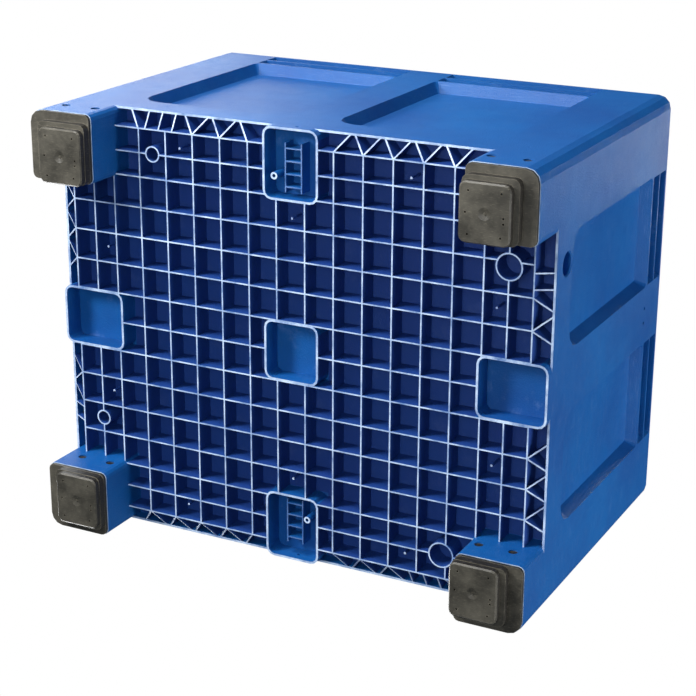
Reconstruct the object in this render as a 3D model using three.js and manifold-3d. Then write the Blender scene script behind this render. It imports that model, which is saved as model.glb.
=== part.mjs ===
// Pallet box: one moulded tub on four corner feet, each foot closed by a plug-in cap.
// Millimetres, +Z up. The origin is on the floor under the middle of the box.
import * as THREE from 'three';
import { mergeVertices } from 'three/addons/utils/BufferGeometryUtils.js';
import Module from 'manifold-3d';

const wasm = await Module();
wasm.setup();

// overall sizes
const LENGTH = 1200;
const WIDTH = 1000;
const HEIGHT = 850;
const CORNER_R = 30;
const WALL = 5;
const CLEAR = 0.3;
const GRID = 1 / 1024;

// levels above the floor
const FOOT_Z = 42;
const RIB_Z = 130;
const SKIRT_Z = 150;
const CEILING_Z = 180;
const FLOOR_Z = 184;

// rib lattice under the floor
const RIB_T = 3.2;
const BORDER = 40;
const NARROW = 55;
const COLUMN_CELLS = 13;
const ROW_CELLS = 10;
const EDGE_X = LENGTH / 2 - BORDER;
const EDGE_Y = WIDTH / 2 - BORDER;
const INNER_X = EDGE_X - 2 * NARROW;
const INNER_Y = EDGE_Y - 2 * NARROW;
const PITCH_X = 2 * INNER_X / COLUMN_CELLS;
const PITCH_Y = 2 * INNER_Y / ROW_CELLS;

// feet and sockets
const FOOT = 157;
const FOOT_R = 14;
const SOCKET_HALF = 67;
const SOCKET_HALF_Y = 70;
const SOCKET_DEPTH = 160;
const SOCKET_R = 20;
const SOCKET_T = 5;
const LADDER_DROP = 15;
const TUBE_R = 8;
const TUBE_BORE_R = 4;

// recessed panels and the ribbed rim above them
const RELIEF = 26;
const PANEL_TOP = 750;
const LONG_PANEL = [52, 440, 225];
const SHORT_PANEL = [70, 330, 238];
const PANEL_BOTTOM_R = 50;
const PANEL_TOP_R = 14;
const SLOPE = 14;
const RIM_RIBS = [[757, 797], [803, 843]];
const DRAIN_R = 25.5;
const DRAIN_Y = -267;
const DRAIN_Z = 210;
const COUNTERSINK = 2.5;

// foot caps
const CAP_FLANGE = 8;
const CAP_INSET = 1.5;
const CAP_TIER = 18;
const CAP_WALL = 5;
const PLUG_T = 4;
const PLUG_H = 30;
const STUD_R = 9.8;
const STUD_HOLE_R = 10.5;
const STUD_PITCH = 78;
const STUD_SHIFT = 11;
const STUD_Z = 100;
const TONGUE_HALF = 13;

// small geometry helpers
function solid(geometry) {
  const g = geometry.index ? geometry.toNonIndexed() : geometry.clone();
  g.deleteAttribute('normal');
  g.deleteAttribute('uv');
  // turned shapes pick up rounding errors, so every vertex goes back on a fine grid first
  const p = g.attributes.position.array;
  for (let i = 0; i < p.length; i += 1) p[i] = Math.round(p[i] / GRID) * GRID;
  const merged = mergeVertices(g, 1e-4);
  const mesh = new wasm.Mesh({
    numProp: 3,
    vertProperties: new Float32Array(merged.attributes.position.array),
    triVerts: new Uint32Array(merged.index.array),
  });
  return new wasm.Manifold(mesh);
}

function join(parts) {
  let sum = parts[0];
  for (const part of parts.slice(1)) sum = sum.add(part);
  return sum;
}

function box(x0, x1, y0, y1, z0, z1) {
  const g = new THREE.BoxGeometry(x1 - x0, y1 - y0, z1 - z0);
  g.translate((x0 + x1) / 2, (y0 + y1) / 2, (z0 + z1) / 2);
  return solid(g);
}

function prism(points, z0, z1) {
  const g = new THREE.ExtrudeGeometry(new THREE.Shape(points), { depth: z1 - z0, bevelEnabled: false });
  g.translate(0, 0, z0);
  return solid(g);
}

function rod(r, x, y, z0, z1, sides) {
  const g = new THREE.CylinderGeometry(r, r, z1 - z0, sides);
  g.rotateX(Math.PI / 2);
  g.translate(x, y, (z0 + z1) / 2);
  return solid(g);
}

// Counter-clockwise outline of a rectangle with its own radius at the low and at the high v side.
function outline(u0, u1, v0, v1, rLow, rHigh = rLow, steps = 3) {
  const corners = [
    [u1 - rLow, v0 + rLow, rLow, -Math.PI / 2],
    [u1 - rHigh, v1 - rHigh, rHigh, 0],
    [u0 + rHigh, v1 - rHigh, rHigh, Math.PI / 2],
    [u0 + rLow, v0 + rLow, rLow, Math.PI],
  ];
  const points = [];
  for (const [u, v, r, start] of corners) {
    for (let i = 0; i <= steps; i += 1) {
      const a = start + (i / steps) * Math.PI / 2;
      points.push(new THREE.Vector2(u + r * Math.cos(a), v + r * Math.sin(a)));
    }
  }
  return points;
}

// Closed body between two outlines of the same point count, at w = w0 and w = w1.
function loft(low, high, w0, w1) {
  const n = low.length;
  const caps = THREE.ShapeUtils.triangulateShape(low, []);
  const at = (i) => (i < n ? [low[i].x, low[i].y, w0] : [high[i - n].x, high[i - n].y, w1]);
  const faces = [];
  for (const [a, b, c] of caps) {
    faces.push([a, c, b], [a + n, b + n, c + n]);
  }
  for (let i = 0; i < n; i += 1) {
    const j = (i + 1) % n;
    faces.push([i, j, j + n], [i, j + n, i + n]);
  }
  const g = new THREE.BufferGeometry();
  g.setAttribute('position', new THREE.Float32BufferAttribute(faces.flat().flatMap(at), 3));
  return g;
}

// wall relief: a shape drawn in (u along the wall, v up, w inwards) and laid on each wall
const WALLS = [
  { turn: 0, reach: WIDTH / 2, panel: LONG_PANEL },
  { turn: Math.PI, reach: WIDTH / 2, panel: LONG_PANEL },
  { turn: Math.PI / 2, reach: LENGTH / 2, panel: SHORT_PANEL },
  { turn: -Math.PI / 2, reach: LENGTH / 2, panel: SHORT_PANEL },
];

function onWall(geometry, wall) {
  const g = geometry.clone();
  // u -> X, v -> Z, w -> +Y (inwards from the front wall), then turned to its wall
  g.applyMatrix4(new THREE.Matrix4().set(
    1, 0, 0, 0,
    0, 0, 1, -wall.reach,
    0, 1, 0, 0,
    0, 0, 0, 1,
  ));
  // the axes swap once, so the winding is turned back
  const p = g.attributes.position.array;
  for (let i = 0; i < p.length; i += 9) {
    for (let k = 0; k < 3; k += 1) {
      const keep = p[i + 3 + k];
      p[i + 3 + k] = p[i + 6 + k];
      p[i + 6 + k] = keep;
    }
  }
  g.rotateZ(wall.turn);
  return solid(g);
}

function panelRecess(u0, u1, v0) {
  const mouth = outline(u0, u1, v0, PANEL_TOP, PANEL_BOTTOM_R, PANEL_TOP_R);
  const back = outline(
    u0 + SLOPE, u1 - SLOPE, v0 + SLOPE, PANEL_TOP - SLOPE, PANEL_BOTTOM_R - SLOPE / 2, PANEL_TOP_R - SLOPE / 2,
  );
  return loft(mouth, back, 0, RELIEF);
}

// A deep groove between two rim ribs, with ends that slope like the panel's sides.
function rimGroove(u0, u1, v0, v1) {
  const mouth = outline(u0 + 2, u1 - 2, v0, v1, 1, 1, 1);
  const back = outline(u0 + 2 + SLOPE, u1 - 2 - SLOPE, v0, v1, 1, 1, 1);
  return loft(mouth, back, 0, RELIEF);
}

// What the panel and the ribbed rim push into the inside of the tub.
function innerBulge(u0, u1, v0) {
  const out = WALL * 0.9;
  const mouth = outline(u0 - out, u1 + out, v0 - out, HEIGHT + 20, PANEL_BOTTOM_R, 2);
  const back = outline(
    u0 - out + SLOPE, u1 + out - SLOPE, v0 - out + SLOPE, HEIGHT + 18, PANEL_BOTTOM_R - SLOPE / 2, 1,
  );
  return loft(mouth, back, WALL, RELIEF + WALL);
}

// Tub walls and floor as one block that is still solid from the rib plane up to the floor.
function wallBlock() {
  const corners = outline(-LENGTH / 2, LENGTH / 2, -WIDTH / 2, WIDTH / 2, CORNER_R);
  const inX = LENGTH / 2 - WALL;
  const inY = WIDTH / 2 - WALL;
  let body = prism(corners, RIB_Z, HEIGHT);
  let cavity = prism(outline(-inX, inX, -inY, inY, CORNER_R - WALL), FLOOR_Z, HEIGHT + 10);
  for (const wall of WALLS) {
    const [near, far, low] = wall.panel;
    for (const [u0, u1] of [[-far, -near], [near, far]]) {
      body = body.subtract(onWall(panelRecess(u0, u1, low), wall));
      for (const [v0, v1] of RIM_RIBS) {
        body = body.subtract(onWall(rimGroove(u0, u1, v0, v1), wall));
      }
      cavity = cavity.subtract(onWall(innerBulge(u0, u1, low), wall));
    }
  }
  return body.subtract(cavity);
}

// the underside: the rib lattice is what is left between the pockets
const BELOW = RIB_Z - 20;
const ABOVE = CEILING_Z + 20;
const footX = LENGTH / 2 - FOOT;
const footY = WIDTH / 2 - FOOT;

const columns = [-EDGE_X, -EDGE_X + NARROW];
for (let i = 0; i <= COLUMN_CELLS; i += 1) columns.push(-INNER_X + i * PITCH_X);
columns.push(EDGE_X - NARROW, EDGE_X);

const rows = [-EDGE_Y, -EDGE_Y + NARROW];
for (let i = 0; i <= ROW_CELLS; i += 1) rows.push(-INNER_Y + i * PITCH_Y);
rows.push(EDGE_Y - NARROW, EDGE_Y);

function cellPockets() {
  const half = RIB_T / 2;
  const cells = [];
  for (let i = 0; i + 1 < columns.length; i += 1) {
    for (let j = 0; j + 1 < rows.length; j += 1) {
      const [x0, x1] = [columns[i] + half, columns[i + 1] - half];
      const [y0, y1] = [rows[j] + half, rows[j + 1] - half];
      const inFoot = Math.min(Math.abs(x0), Math.abs(x1)) > footX && Math.min(Math.abs(y0), Math.abs(y1)) > footY;
      if (!inFoot) cells.push(box(x0, x1, y0, y1, BELOW, CEILING_Z));
    }
  }
  return join(cells);
}

// A thin upright plate that stays between two pockets.
function web(x0, y0, x1, y1) {
  const run = Math.hypot(x1 - x0, y1 - y0);
  const g = new THREE.BoxGeometry(run, RIB_T, ABOVE - BELOW);
  g.rotateZ(Math.atan2(y1 - y0, x1 - x0));
  g.translate((x0 + x1) / 2, (y0 + y1) / 2, (ABOVE + BELOW) / 2);
  return solid(g);
}

// Open border between the outermost lattice rib and the wall. Slanted ribs run from the lattice to
// pairs of points on the wall. Beside one foot of each side a few ribs cross it squarely instead.
const PAIR = 5;
const LONG_PLAIN = { straight: [], firstSlanted: 0, towardsFoot: true, towardsSocket: false };
const LONG_SQUARE = { straight: [0.25, 0.75, 1.25], firstSlanted: 2, towardsFoot: true, towardsSocket: false };
const SHORT_PLAIN = { straight: [], firstSlanted: 0, towardsFoot: true, towardsSocket: true };
const SHORT_SQUARE = { straight: [0.25, 0.75], firstSlanted: 1, towardsFoot: false, towardsSocket: true };

// Pairs of places along a side: where each border rib leaves the lattice and where it meets the wall.
// The nodes are listed from the foot towards the socket.
function borderRibs(nodes, { straight, firstSlanted, towardsFoot, towardsSocket }) {
  const step = nodes[1] - nodes[0];
  const last = nodes[nodes.length - 1];
  const ribs = straight.map((share) => [nodes[0] + share * step, nodes[0] + share * step]);
  const aside = Math.sign(step) * PAIR;
  if (towardsFoot) ribs.push([nodes[0], nodes[0] - step / 2 + aside]);
  if (towardsFoot && firstSlanted > 0) ribs.push([nodes[firstSlanted], nodes[firstSlanted] - step / 2 + aside]);
  if (towardsSocket) ribs.push([last, last + step / 2 - aside]);
  for (let i = firstSlanted; i + 1 < nodes.length; i += 1) {
    const middle = (nodes[i] + nodes[i + 1]) / 2;
    ribs.push([nodes[i], middle - aside], [nodes[i + 1], middle + aside]);
  }
  return ribs;
}

function borderPockets() {
  const half = RIB_T / 2;
  const wallX = LENGTH / 2 - WALL;
  const wallY = WIDTH / 2 - WALL;
  const pockets = [];
  const webs = [];
  const longNodes = columns.filter((x) => x > SOCKET_HALF && x < footX).reverse();
  const shortNodes = rows.filter((y) => y > SOCKET_HALF_Y + 1 && y < footY).reverse();
  for (const side of [-1, 1]) {
    const [ya, yb] = [side * (EDGE_Y + half), side * wallY].sort((a, b) => a - b);
    const [xa, xb] = [side * (EDGE_X + half), side * wallX].sort((a, b) => a - b);
    for (const end of [-1, 1]) {
      const [x0, x1] = [end * (SOCKET_HALF - SOCKET_R), end * (footX + FOOT_R)].sort((a, b) => a - b);
      const [y0, y1] = [end * (SOCKET_HALF_Y - SOCKET_R), end * (footY + FOOT_R)].sort((a, b) => a - b);
      pockets.push(box(x0, x1, ya, yb, BELOW, CEILING_Z), box(xa, xb, y0, y1, BELOW, CEILING_Z));
      for (const [node, skirt] of borderRibs(longNodes, side === end ? LONG_SQUARE : LONG_PLAIN)) {
        webs.push(web(end * node, side * EDGE_Y, end * skirt, side * (wallY + 2)));
      }
      for (const [node, skirt] of borderRibs(shortNodes, side === end ? SHORT_PLAIN : SHORT_SQUARE)) {
        webs.push(web(side * EDGE_X, end * node, side * (wallX + 2), end * skirt));
      }
    }
  }
  return join(pockets).subtract(join(webs));
}

// Cuts the border ribs on a slope and the wall's lower edge off level, between feet and sockets.
function skirtCut(reach, edge, from, to) {
  const section = [
    [edge + RIB_T / 2, BELOW], [reach + 10, BELOW], [reach + 10, SKIRT_Z],
    [reach - WALL, SKIRT_Z], [edge + RIB_T / 2, RIB_Z],
  ].map(([u, v]) => new THREE.Vector2(u, v));
  const g = new THREE.ExtrudeGeometry(new THREE.Shape(section), { depth: to - from, bevelEnabled: false });
  g.rotateX(Math.PI / 2);
  g.translate(0, to, 0);
  return g;
}

function skirtCuts() {
  const cuts = [];
  for (const turn of [0, Math.PI]) {
    const [low, high] = [SOCKET_HALF_Y - SOCKET_R, footY + FOOT_R];
    for (const [from, to] of [[-high, -low], [low, high]]) {
      cuts.push(solid(skirtCut(LENGTH / 2, EDGE_X, from, to).rotateZ(turn)));
    }
  }
  for (const turn of [Math.PI / 2, -Math.PI / 2]) {
    const [low, high] = [SOCKET_HALF - SOCKET_R, footX + FOOT_R];
    for (const [from, to] of [[-high, -low], [low, high]]) {
      cuts.push(solid(skirtCut(WIDTH / 2, EDGE_Y, from, to).rotateZ(turn)));
    }
  }
  return join(cuts);
}

const SOCKETS = [
  { box: [-SOCKET_HALF, SOCKET_HALF, -SOCKET_HALF_Y, SOCKET_HALF_Y], ladder: 0 },
  { box: [-SOCKET_HALF, SOCKET_HALF, -WIDTH / 2, -WIDTH / 2 + SOCKET_DEPTH], ladder: -1 },
  { box: [-SOCKET_HALF, SOCKET_HALF, WIDTH / 2 - SOCKET_DEPTH, WIDTH / 2], ladder: 1 },
  { box: [-LENGTH / 2, -LENGTH / 2 + SOCKET_DEPTH, -SOCKET_HALF_Y, SOCKET_HALF_Y], ladder: 0 },
  { box: [LENGTH / 2 - SOCKET_DEPTH, LENGTH / 2, -SOCKET_HALF_Y, SOCKET_HALF_Y], ladder: 0 },
];

function socketBlock([x0, x1, y0, y1]) {
  return prism(outline(x0, x1, y0, y1, SOCKET_R), BELOW - 5, ABOVE);
}

function socketHollow([x0, x1, y0, y1]) {
  const t = SOCKET_T;
  return prism(outline(x0 + t, x1 - t, y0 + t, y1 - t, SOCKET_R - t), BELOW, CEILING_Z);
}

// Two long ribs and four rungs inside the front and the rear socket, below the lip, and a tall tube.
function ladder(side) {
  const z0 = RIB_Z + LADDER_DROP;
  const [near, far] = [WIDTH / 2 - 144, WIDTH / 2 - 36];
  const [y0, y1] = [side * near, side * far].sort((a, b) => a - b);
  const parts = [];
  for (const x of [-19.5, 19.5]) parts.push(box(x - 1.5, x + 1.5, y0, y1, z0, ABOVE));
  for (let i = 0; i < 4; i += 1) {
    const y = y0 + 12 + i * (y1 - y0 - 24) / 3;
    parts.push(box(-20, 20, y - 1.5, y + 1.5, z0, ABOVE));
  }
  const [x, y] = [side * 39, side * (WIDTH / 2 - 107)];
  return join(parts)
    .add(rod(TUBE_R, x, y, BELOW - 5, ABOVE, 16))
    .subtract(rod(TUBE_BORE_R, x, y, BELOW - 10, CEILING_Z, 12));
}

const RINGS = [
  [columns[3] + PITCH_X / 2, -EDGE_Y + NARROW, 18.5],
  [-EDGE_X + NARROW, rows[10] + PITCH_Y / 2, 18.5],
  [EDGE_X - NARROW, rows[3] + 12, 30],
  [columns[14] - 11, EDGE_Y - NARROW, 30],
];

const PINS = [
  [-280, -424], [280, -424], [-478, -175], [0, -302], [478, -175],
  [-478, 175], [0, 302], [478, 175], [-280, 424], [280, 424],
];

const CORNERS = [[-1, -1], [1, -1], [-1, 1], [1, 1]];

// Foot outline: the wall's own radius at the box corner, a smaller one at the other three.
function footOutline(sx, sy, t) {
  const [x0, x1] = [sx * (footX + t), sx * (LENGTH / 2 - t)].sort((a, b) => a - b);
  const [y0, y1] = [sy * (footY + t), sy * (WIDTH / 2 - t)].sort((a, b) => a - b);
  const radius = (cx, cy) => (cx === sx && cy === sy ? CORNER_R : FOOT_R) - t;
  const corner = [
    [x1, y0, 1, -1, -Math.PI / 2], [x1, y1, 1, 1, 0], [x0, y1, -1, 1, Math.PI / 2], [x0, y0, -1, -1, Math.PI],
  ];
  const points = [];
  for (const [x, y, cx, cy, start] of corner) {
    const r = radius(cx, cy);
    for (let i = 0; i <= 3; i += 1) {
      const a = start + (i / 3) * Math.PI / 2;
      points.push(new THREE.Vector2(x - cx * r + r * Math.cos(a), y - cy * r + r * Math.sin(a)));
    }
  }
  return points;
}

function tub() {
  const sockets = join(SOCKETS.map((s) => socketBlock(s.box)));
  let kept = sockets;
  for (const [x, y, r] of RINGS) kept = kept.add(rod(r, x, y, BELOW - 5, ABOVE, 24));
  for (const [x, y] of PINS) kept = kept.add(rod(3, x, y, RIB_Z + 8, ABOVE, 6));
  for (const [sx, sy] of CORNERS) kept = kept.add(prism(footOutline(sx, sy, 0), BELOW - 5, ABOVE));
  let body = wallBlock().subtract(cellPockets().add(borderPockets()).subtract(kept));
  body = body.subtract(skirtCuts().subtract(sockets));
  for (const [sx, sy] of CORNERS) body = body.add(prism(footOutline(sx, sy, 0), FOOT_Z, CEILING_Z));
  for (const [x, y, r] of RINGS) body = body.subtract(rod(r - RIB_T, x, y, BELOW, CEILING_Z, 24));
  for (const s of SOCKETS) {
    const hollow = socketHollow(s.box);
    body = body.subtract(s.ladder === 0 ? hollow : hollow.subtract(ladder(s.ladder)));
  }
  for (const [sx, sy] of CORNERS) {
    body = body.subtract(prism(footOutline(sx, sy, WALL), FOOT_Z - 5, CEILING_Z));
    for (const dx of [-STUD_PITCH / 2, STUD_PITCH / 2]) {
      const hole = new THREE.CylinderGeometry(STUD_HOLE_R, STUD_HOLE_R, FOOT + 10, 16);
      hole.translate(sx * (LENGTH / 2 - FOOT / 2 - STUD_SHIFT) + dx, sy * (WIDTH / 2 - FOOT / 2), STUD_Z);
      body = body.subtract(solid(hole));
    }
  }
  for (const side of [-1, 1]) {
    const hole = new THREE.CylinderGeometry(4, 4, 20, 12);
    hole.translate(6, side * WIDTH / 2, RIB_Z + 22);
    body = body.subtract(solid(hole));
  }
  // the drain opens outwards through a countersink
  const drain = new THREE.CylinderGeometry(DRAIN_R, DRAIN_R, 30, 24);
  drain.rotateZ(Math.PI / 2);
  drain.translate(LENGTH / 2, DRAIN_Y, DRAIN_Z);
  const [inner, outer] = [DRAIN_R + 0.5, DRAIN_R + 0.5 + COUNTERSINK];
  const countersink = new THREE.CylinderGeometry(inner, outer, COUNTERSINK + 1, 24);
  countersink.rotateZ(Math.PI / 2);
  countersink.translate(LENGTH / 2 + (1 - COUNTERSINK) / 2, DRAIN_Y, DRAIN_Z);
  body = body.subtract(solid(drain)).subtract(solid(countersink));
  for (const y of [-18, 18]) {
    const hole = new THREE.CylinderGeometry(4, 4, 30, 12);
    hole.rotateZ(Math.PI / 2);
    hole.translate(LENGTH / 2, y, RIB_Z + 615);
    body = body.subtract(solid(hole));
  }
  return body;
}

// foot cap: flange, two-tier stacking boss towards the box centre, and a plug inside the foot
function footCap(sx, sy) {
  // drawn for the corner at +X, +Y and mirrored by choosing the limits
  const span = (s, a, b) => (s > 0 ? [a, b] : [-b, -a]);
  const level = (z0, z1, xIn, xOut, yIn, yOut, r) => {
    const [x0, x1] = span(sx, footX + xIn, LENGTH / 2 - xOut);
    const [y0, y1] = span(sy, footY + yIn, WIDTH / 2 - yOut);
    return prism(outline(x0, x1, y0, y1, r), z0, z1);
  };
  const seat = FOOT_Z - CLEAR;
  const flange = seat - CAP_FLANGE;
  const tier = flange - CAP_TIER;
  const w = CAP_WALL;
  const inset = WALL + CLEAR + 0.1;
  let body = prism(footOutline(sx, sy, CAP_INSET), flange, seat)
    .add(level(tier, flange + 1, 2, 32, 2, 20, 14));
  const [fx0, fx1] = span(sx, footX + 3, LENGTH / 2 - 44);
  const [fy0, fy1] = span(sy, footY + 3, WIDTH / 2 - 30);
  const chamfer = 3;
  const face = outline(fx0 + chamfer, fx1 - chamfer, fy0 + chamfer, fy1 - chamfer, 11);
  const edge = outline(fx0, fx1, fy0, fy1, 14);
  body = body.add(solid(loft(face, edge, 0, chamfer)))
    .add(level(chamfer, tier + 1, 3, 44, 3, 30, 14))
    .add(prism(footOutline(sx, sy, inset), seat - 1, seat + PLUG_H));
  body = body
    .subtract(prism(footOutline(sx, sy, inset + PLUG_T), flange + w, seat + PLUG_H + 5))
    .subtract(level(tier + w, flange + w + 1, 14, 32 + w, 14, 20 + w, 6))
    .subtract(level(w, tier + w + 1, 14, 44 + w, 14, 30 + w, 6));

  const cx = (fx0 + fx1) / 2;
  const cy = (fy0 + fy1) / 2;
  const hx = (fx1 - fx0) / 2 - 20;
  const hy = (fy1 - fy0) / 2 - 18;
  for (const [u, v] of [[-1, -1], [1, -1], [-1, 1], [1, 1], [-1.15, 0], [1.15, 0.1], [1.15, 0.35]]) {
    body = body.subtract(rod(2.5, cx + u * hx, cy + v * hy, -5, 20, 6));
  }
  // shallow round dimple with the moulding gate in its middle
  const dimple = new THREE.CylinderGeometry(4, 15, 3, 16);
  dimple.rotateX(Math.PI / 2);
  dimple.translate(cx, cy, 1);
  body = body.subtract(solid(dimple)).add(rod(2.5, cx, cy, 1, 5, 8));
  // snap tongues with round studs that sit in the holes of the foot
  const centreX = sx * (LENGTH / 2 - FOOT / 2 - STUD_SHIFT);
  const centreY = sy * (WIDTH / 2 - FOOT / 2);
  const inside = FOOT / 2 - inset;
  for (const face of [-1, 1]) {
    for (const dx of [-STUD_PITCH / 2, STUD_PITCH / 2]) {
      const y0 = centreY + face * (inside - PLUG_T);
      const y1 = centreY + face * inside;
      const [ya, yb] = [y0, y1].sort((a, b) => a - b);
      const x = centreX + dx;
      body = body.add(box(x - TONGUE_HALF, x + TONGUE_HALF, ya, yb, seat + PLUG_H - 3, STUD_Z + TONGUE_HALF));
      const stud = new THREE.CylinderGeometry(STUD_R, STUD_R, PLUG_T + 2.5, 16);
      stud.translate(x, centreY + face * (inside - PLUG_T / 2 + 1.25), STUD_Z);
      body = body.add(solid(stud));
    }
  }
  return body;
}

// the scene graph
function named(name, body, material) {
  const mesh = body.getMesh();
  const g = new THREE.BufferGeometry();
  g.setAttribute('position', new THREE.BufferAttribute(new Float32Array(mesh.vertProperties), 3));
  g.setIndex(new THREE.BufferAttribute(new Uint32Array(mesh.triVerts), 1));
  g.computeVertexNormals();
  const node = new THREE.Mesh(g, material);
  node.name = name;
  return node;
}

const bluePlastic = new THREE.MeshStandardMaterial({ color: 0x10489c, roughness: 0.5, metalness: 0 });
const darkPlastic = new THREE.MeshStandardMaterial({ color: 0x3a3733, roughness: 0.55, metalness: 0 });

const palletBox = new THREE.Group();
palletBox.add(named('tub', tub(), bluePlastic));
const CAPS = [
  ['foot_cap_front_left', -1, -1],
  ['foot_cap_front_right', 1, -1],
  ['foot_cap_rear_left', -1, 1],
  ['foot_cap_rear_right', 1, 1],
];
for (const [name, sx, sy] of CAPS) palletBox.add(named(name, footCap(sx, sy), darkPlastic));

export default palletBox;
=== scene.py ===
import math

import bpy
from mathutils import Matrix, Vector


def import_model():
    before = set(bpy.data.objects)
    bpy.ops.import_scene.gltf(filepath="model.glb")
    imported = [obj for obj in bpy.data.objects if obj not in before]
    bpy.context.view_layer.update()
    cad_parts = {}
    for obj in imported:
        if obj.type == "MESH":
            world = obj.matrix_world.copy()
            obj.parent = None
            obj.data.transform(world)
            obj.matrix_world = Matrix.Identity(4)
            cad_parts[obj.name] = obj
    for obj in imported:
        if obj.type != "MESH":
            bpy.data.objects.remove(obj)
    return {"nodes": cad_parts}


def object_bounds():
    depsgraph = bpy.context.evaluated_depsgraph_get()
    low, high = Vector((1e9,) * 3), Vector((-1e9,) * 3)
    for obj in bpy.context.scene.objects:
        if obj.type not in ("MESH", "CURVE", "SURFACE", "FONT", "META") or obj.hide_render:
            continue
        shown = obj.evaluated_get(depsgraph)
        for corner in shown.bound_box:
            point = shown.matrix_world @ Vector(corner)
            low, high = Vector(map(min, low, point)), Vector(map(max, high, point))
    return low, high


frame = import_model()
CAD_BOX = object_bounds()
scene = bpy.context.scene

# levels, in metres above the floor that the box stands on
FOOT_Z = 0.042
RIB_Z = 0.130
SKIRT_Z = 0.150
CEILING_Z = 0.180
# a level between the socket lips and the ladder ribs, which sit deeper
LADDER_Z = 0.140

# distances from the middle of the box, in metres
HALF_X = float(CAD_BOX[1][0])
HALF_Y = float(CAD_BOX[1][1])
WALL = 0.0055
FOOT_WIDTH = 0.1575
INSIDE_X = HALF_X - WALL
INSIDE_Y = HALF_Y - WALL
FOOT_X = HALF_X - FOOT_WIDTH
FOOT_Y = HALF_Y - FOOT_WIDTH
SOCKET_X = 0.067
SOCKET_Y = 0.070
LADDER_X = 0.023
# how far the end sockets reach in from the walls
SOCKET_REACH = 0.155
# the painted pocket shade starts and ends this far above the ribs' edge and the ceiling
POCKET_SHADE_LIFT = 0.001
# a pale edge, partly scuff and partly painted highlight, reaches this far past its level
EDGE_SLACK = 0.002

# blue plastic: linear colours, noise scales per metre, and amounts from 0 to 1
BLUE = (0.002, 0.110, 0.375, 1)
BLUE_SHADE = (0.003, 0.075, 0.300, 1)
BLUE_PAINTED_SHADE = (0.014, 0.036, 0.210, 1)
BLUE_WORN_AND_GLINT = (0.640, 0.790, 1.000, 1)
BLUE_DUST = (0.200, 0.330, 0.620, 1)
BLUE_FACES_DOWN = -0.6
CLOUD_SCALE = 3.5
PATCH_SCALE = 22.0
MOTTLE_SCALE = 240.0
GRAIN_SCALE = 950.0
ACROSS_SCRATCH = (6, 6, 240)
UPRIGHT_SCRATCH = (220, 220, 5)
POCKET_SHADE_AMOUNT = 0.75
WORN_AND_GLINT_AMOUNT = 0.92
LADDER_SPARED = 0.8

# dark plastic
DARK = (0.017, 0.015, 0.012, 1)
DARK_FACE = (0.036, 0.033, 0.025, 1)
DARK_FACE_PALE = (0.094, 0.086, 0.066, 1)
DARK_WORN_AND_HIGHLIGHT = (0.400, 0.360, 0.270, 1)
DARK_FACES_DOWN = -0.5
DARK_CLOUD_SCALE = 14.0
DARK_GRAIN_SCALE = 700.0
SCUFF = (30, 160, 30)
RIM_RADIUS = 0.0022
RIM_WEAR_AND_HIGHLIGHT_AMOUNT = 0.5

# both plastics
STREAK_SCALE = 3.0
PLASTIC_IOR = 1.5

# softened edges
TUB_EDGE = 0.0007
CAP_EDGE = 0.0012
EDGE_SEGMENTS = 2
EDGE_ANGLE = math.radians(40)

# floor: its drop below the box, its colour, and the radii where it starts and ends fading
FLOOR_DROP = 0.0005
FLOOR_COLOUR = (0.82, 0.82, 0.83, 1)
FADE_START = 0.9
FADE_END = 2.6

ROOM_COLOUR = (0.45, 0.68, 1.0, 1)
ROOM_STRENGTH = 0.10


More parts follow.
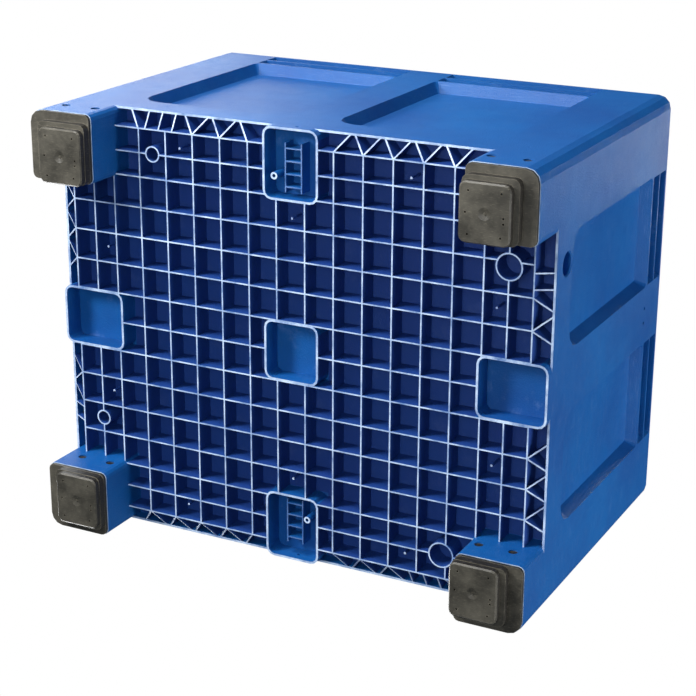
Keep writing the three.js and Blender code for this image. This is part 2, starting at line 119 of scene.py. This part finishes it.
class Nodes:
    """Small helper that builds one material's node tree."""

    def __init__(self, name):
        self.material = bpy.data.materials.new(name)
        self.material.use_nodes = True
        self.tree = self.material.node_tree
        self.tree.nodes.clear()

    def add(self, kind, inputs=None, **settings):
        """Adds a node. An input is a plain value, or the socket that it is linked to."""
        node = self.tree.nodes.new(kind)
        for key, value in settings.items():
            setattr(node, key, value)
        for key, value in (inputs or {}).items():
            if isinstance(value, bpy.types.NodeSocket):
                self.tree.links.new(value, node.inputs[key])
            else:
                node.inputs[key].default_value = value
        return node

    def math(self, operation, a, b):
        return self.add("ShaderNodeMath", {0: a, 1: b}, operation=operation).outputs[0]

    def size(self, value):
        return self.add("ShaderNodeMath", {0: value}, operation="ABSOLUTE").outputs[0]

    def times(self, a, b):
        return self.math("MULTIPLY", a, b)

    def plus(self, a, b):
        return self.math("ADD", a, b)

    def either(self, a, b):
        return self.math("MAXIMUM", a, b)

    def above(self, value, limit):
        return self.math("GREATER_THAN", value, limit)

    def below(self, value, limit):
        return self.math("LESS_THAN", value, limit)

    def opposite(self, value):
        return self.math("SUBTRACT", 1.0, value)

    def between(self, value, low, high):
        return self.times(self.above(value, low), self.below(value, high))

    def weighted(self, base, *parts):
        """Adds parts, each one a value and its weight, to a base value."""
        total = base
        for value, weight in parts:
            total = self.plus(total, self.times(value, weight))
        return total

    def ramp(self, value, low, high):
        """Goes from 0 at one limit of the value to 1 at the other."""
        inputs = {"Value": value, "From Min": low, "From Max": high}
        return self.add("ShaderNodeMapRange", inputs).outputs["Result"]

    def mix(self, factor, a, b):
        node = self.add("ShaderNodeMix", data_type="RGBA")
        for key, value in (("Factor", factor), ("A", a), ("B", b)):
            socket = [s for s in node.inputs if s.name == key and s.enabled][0]
            if isinstance(value, bpy.types.NodeSocket):
                self.tree.links.new(value, socket)
            else:
                socket.default_value = value
        return [s for s in node.outputs if s.enabled][0]

    def layer(self, body, colour, value, low, high, amount):
        """Lays a colour over the body's where a value goes from low to high."""
        return self.mix(self.times(self.ramp(value, low, high), amount), body, colour)

    def noise(self, vector, scale, detail, rough):
        inputs = {"Vector": vector, "Scale": scale, "Detail": detail, "Roughness": rough}
        return self.add("ShaderNodeTexNoise", inputs).outputs["Fac"]

    def streaks(self, vector, stretch):
        node = self.add("ShaderNodeVectorMath", {0: vector, 1: stretch}, operation="MULTIPLY")
        return self.noise(node.outputs[0], STREAK_SCALE, detail=6.0, rough=0.7)

    def finish(self, color, roughness, height, strength, distance, shine):
        """Closes the tree with a bump and a glossy plastic shader."""
        inputs = {"Height": height, "Strength": strength, "Distance": distance}
        normal = self.add("ShaderNodeBump", inputs).outputs[0]
        inputs = {"Base Color": color, "Roughness": roughness, "Normal": normal}
        inputs.update({"IOR": PLASTIC_IOR, "Specular IOR Level": shine})
        shader = self.add("ShaderNodeBsdfPrincipled", inputs)
        self.add("ShaderNodeOutputMaterial", {"Surface": shader.outputs[0]})
        return self.material


def pocket_shade_mask(n, x, y, z):
    """Painted shade: is 1 in the rib pockets, and 0 in the sockets, in the feet and on the
    outside.
    """
    shaded_pocket = n.between(z, RIB_Z + POCKET_SHADE_LIFT, CEILING_Z + POCKET_SHADE_LIFT)
    shaded_pocket = n.times(shaded_pocket, n.below(x, INSIDE_X))
    shaded_pocket = n.times(shaded_pocket, n.below(y, INSIDE_Y))
    middle_x = n.below(x, SOCKET_X)
    middle_y = n.below(y, SOCKET_Y)
    ends_x = n.above(x, INSIDE_X - SOCKET_REACH)
    ends_y = n.either(middle_y, n.above(y, INSIDE_Y - SOCKET_REACH))
    sockets = n.either(n.times(middle_x, ends_y), n.times(middle_y, ends_x))
    feet = n.times(n.above(x, FOOT_X), n.above(y, FOOT_Y))
    return n.times(shaded_pocket, n.opposite(n.either(sockets, feet)))


def worn_and_glint_mask(n, x, z, down, patches):
    """Pale lower edges of ribs, socket lips, skirt and feet, partly scuff and partly painted
    highlight, less so on the ladder ribs.
    """
    edge = n.between(z, RIB_Z - EDGE_SLACK, SKIRT_Z + EDGE_SLACK)
    foot = n.between(z, FOOT_Z - EDGE_SLACK, FOOT_Z + EDGE_SLACK)
    worn_and_glint = n.times(n.times(down, n.either(edge, foot)), n.ramp(patches, low=0.22, high=0.62))
    ladder = n.times(n.below(x, LADDER_X), n.above(z, LADDER_Z))
    return n.times(worn_and_glint, n.opposite(n.times(ladder, LADDER_SPARED)))


def blue_plastic():
    """Clouded, scratched and grained blue, with painted shade in the pockets, and pale edges that
    are partly scuff and partly painted highlight.
    """
    n = Nodes("blue_plastic")
    place = n.add("ShaderNodeTexCoord").outputs["Object"]
    split = n.add("ShaderNodeSeparateXYZ", {0: place})
    x = n.size(split.outputs["X"])
    y = n.size(split.outputs["Y"])
    z = split.outputs["Z"]
    normal = n.add("ShaderNodeNewGeometry").outputs["True Normal"]
    facing = n.add("ShaderNodeSeparateXYZ", {0: normal})
    down = n.below(facing.outputs["Z"], BLUE_FACES_DOWN)

    clouds = n.noise(place, CLOUD_SCALE, detail=4.0, rough=0.6)
    patches = n.noise(place, PATCH_SCALE, detail=5.0, rough=0.65)
    mottle = n.noise(place, MOTTLE_SCALE, detail=3.0, rough=0.6)
    grain = n.noise(place, GRAIN_SCALE, detail=2.0, rough=0.6)
    across = n.streaks(place, ACROSS_SCRATCH)
    upright = n.streaks(place, UPRIGHT_SCRATCH)

    body = n.mix(n.ramp(clouds, low=0.35, high=0.7), BLUE, BLUE_SHADE)
    body = n.layer(body, BLUE_DUST, across, low=0.56, high=0.76, amount=0.38)
    body = n.layer(body, BLUE_DUST, upright, low=0.58, high=0.78, amount=0.30)
    body = n.layer(body, BLUE_SHADE, patches, low=0.52, high=0.75, amount=0.45)
    # painted shade: the rib pockets are darkened, where shade falls
    body = n.mix(n.times(pocket_shade_mask(n, x, y, z), POCKET_SHADE_AMOUNT), body, BLUE_PAINTED_SHADE)
    # pale lower edges: partly scuff, partly painted highlight
    body = n.mix(n.times(worn_and_glint_mask(n, x, z, down, patches), WORN_AND_GLINT_AMOUNT), body, BLUE_WORN_AND_GLINT)

    rough = n.weighted(0.34, (patches, 0.14), (across, 0.10))
    height = n.weighted(0.0, (mottle, 3.0), (patches, 2.0), (grain, 1.0))
    return n.finish(body, rough, height, strength=0.35, distance=0.0010, shine=0.35)


def dark_plastic():
    """Near black with scuffs, lighter on faces that look down, and pale on rims that are partly
    rubbed and partly a painted edge highlight.
    """
    n = Nodes("dark_plastic")
    place = n.add("ShaderNodeTexCoord").outputs["Object"]
    normal = n.add("ShaderNodeNewGeometry").outputs["True Normal"]
    facing = n.add("ShaderNodeSeparateXYZ", {0: normal})
    down = n.below(facing.outputs["Z"], DARK_FACES_DOWN)

    clouds = n.noise(place, DARK_CLOUD_SCALE, detail=5.0, rough=0.65)
    grain = n.noise(place, DARK_GRAIN_SCALE, detail=2.0, rough=0.6)
    scuff = n.streaks(place, SCUFF)

    # faces that look down get a lighter, clouded colour; the rest stays near black
    face = n.mix(n.ramp(clouds, low=0.38, high=0.66), DARK_FACE, DARK_FACE_PALE)
    body = n.mix(down, DARK, face)
    body = n.layer(body, DARK_WORN_AND_HIGHLIGHT, scuff, low=0.55, high=0.8, amount=0.4)

    # the rim of every step is pale, partly rubbed wear and partly a painted edge highlight: there
    # the rounded normal leaves the flat one
    rounded = n.add("ShaderNodeBevel", {"Radius": RIM_RADIUS}, samples=4).outputs["Normal"]
    dot = n.add("ShaderNodeVectorMath", {0: rounded, 1: normal}, operation="DOT_PRODUCT")
    rim_wear_and_highlight = n.ramp(dot.outputs["Value"], low=0.98, high=0.80)
    rim_wear_and_highlight = n.times(rim_wear_and_highlight, n.ramp(clouds, low=0.3, high=0.6))
    body = n.mix(n.times(rim_wear_and_highlight, RIM_WEAR_AND_HIGHLIGHT_AMOUNT), body, DARK_WORN_AND_HIGHLIGHT)

    rough = n.weighted(0.34, (clouds, 0.25))
    height = n.weighted(0.0, (grain, 1.0), (clouds, 3.0))
    return n.finish(body, rough, height, strength=0.3, distance=0.0008, shine=0.5)


def dress(node, material, width):
    """Gives a solid its material and softens its hard edges."""
    node.data.materials.clear()
    node.data.materials.append(material)
    bevel = node.modifiers.new("edges", "BEVEL")
    bevel.width = width
    bevel.segments = EDGE_SEGMENTS
    bevel.limit_method = "ANGLE"
    bevel.angle_limit = EDGE_ANGLE
    bevel.harden_normals = True


def floor():
    """Pale floor that only a camera above it sees, and that light passes through."""
    bpy.ops.mesh.primitive_plane_add(size=2 * FADE_END, location=(0, 0, -FLOOR_DROP))
    plane = bpy.context.object
    plane.name = "floor"
    n = Nodes("pale_floor")
    behind = n.add("ShaderNodeNewGeometry").outputs["Backfacing"]
    path = n.add("ShaderNodeLightPath")
    unseen = n.opposite(path.outputs["Is Camera Ray"])
    # it fades out around the box, so that no horizon cuts through the background
    place = n.add("ShaderNodeTexCoord").outputs["Object"]
    away = n.add("ShaderNodeVectorMath", {0: place}, operation="LENGTH").outputs["Value"]
    clear = n.either(n.either(behind, unseen), n.ramp(away, FADE_START, FADE_END))
    pale = n.add("ShaderNodeBsdfDiffuse", {"Color": FLOOR_COLOUR})
    through = n.add("ShaderNodeBsdfTransparent")
    mixed = n.add("ShaderNodeMixShader", {0: clear, 1: pale.outputs[0], 2: through.outputs[0]})
    n.add("ShaderNodeOutputMaterial", {"Surface": mixed.outputs[0]})
    plane.data.materials.append(n.material)


def world():
    """White to the camera, and a dim bluish room to everything else."""
    studio = bpy.data.worlds.new("studio")
    scene.world = studio
    studio.use_nodes = True
    tree = studio.node_tree
    tree.nodes.clear()
    path = tree.nodes.new("ShaderNodeLightPath")
    white = tree.nodes.new("ShaderNodeBackground")
    white.inputs["Color"].default_value = (1, 1, 1, 1)
    room = tree.nodes.new("ShaderNodeBackground")
    room.inputs["Color"].default_value = ROOM_COLOUR
    room.inputs["Strength"].default_value = ROOM_STRENGTH
    mix = tree.nodes.new("ShaderNodeMixShader")
    out = tree.nodes.new("ShaderNodeOutputWorld")
    tree.links.new(path.outputs["Is Camera Ray"], mix.inputs[0])
    tree.links.new(room.outputs[0], mix.inputs[1])
    tree.links.new(white.outputs[0], mix.inputs[2])
    tree.links.new(mix.outputs[0], out.inputs["Surface"])


def area(name, place, target, size, power):
    """Round soft lamp, aimed at a point. Its size is in metres and its power in watts."""
    data = bpy.data.lights.new(name, "AREA")
    data.shape = "DISK"
    data.size = size
    data.energy = power
    lamp = bpy.data.objects.new(name, data)
    lamp.visible_camera = False
    scene.collection.objects.link(lamp)
    lamp.location = place
    aim = Vector(target) - Vector(place)
    lamp.rotation_euler = aim.to_track_quat("-Z", "Y").to_euler()


def lamps():
    """Light for the front wall, its graze from the left, and the underside.

    The back and top lamps are for the other views.
    """
    area("key", (-1.2, -4.2, 1.4), target=(0, -0.3, 0.4), size=2.6, power=62)
    area("glare", (-2.4, -1.3, 2.8), target=(-0.3, -0.5, 0.45), size=1.6, power=24)
    area("low_front", (-0.8, -3.4, -1.0), target=(0, 0.3, 0.08), size=1.2, power=100)
    area("under_left", (-2.4, -2.2, -2.4), target=(0, 0, 0.13), size=1.2, power=150)
    area("under_fill", (1.0, -1.2, -4.0), target=(0, 0, 0.13), size=3.0, power=85)
    area("side", (3.8, 0.8, 0.3), target=(0.5, 0, 0.4), size=2.4, power=112)
    area("back", (-3.2, 3.2, 1.8), target=(0, 0, 0.4), size=2.4, power=190)
    area("top", (0.1, 0.2, 4.2), target=(0, 0, 0.2), size=1.6, power=110)


def camera():
    """Looks up from below at the underside, and at the front and right walls."""
    data = bpy.data.cameras.new("camera")
    data.sensor_fit = "HORIZONTAL"
    data.sensor_width = 36
    data.lens = 92.353
    data.clip_end = 60
    cam = bpy.data.objects.new("camera", data)
    scene.collection.objects.link(cam)
    right = (0.88847, -0.00519, 0.45890)
    up = (-0.15627, -0.94360, 0.29187)
    back = (0.43151, -0.33102, -0.83918)
    place = (1.7958, -1.3046, -3.0894)
    cam.matrix_world = Matrix([*zip(right, up, back, place), (0, 0, 0, 1)])
    scene.camera = cam


blue = blue_plastic()
dark = dark_plastic()
for name, node in frame["nodes"].items():
    if name == "tub":
        dress(node, blue, TUB_EDGE)
    else:
        dress(node, dark, CAP_EDGE)

floor()
world()
lamps()
camera()

scene.view_settings.view_transform = "Standard"
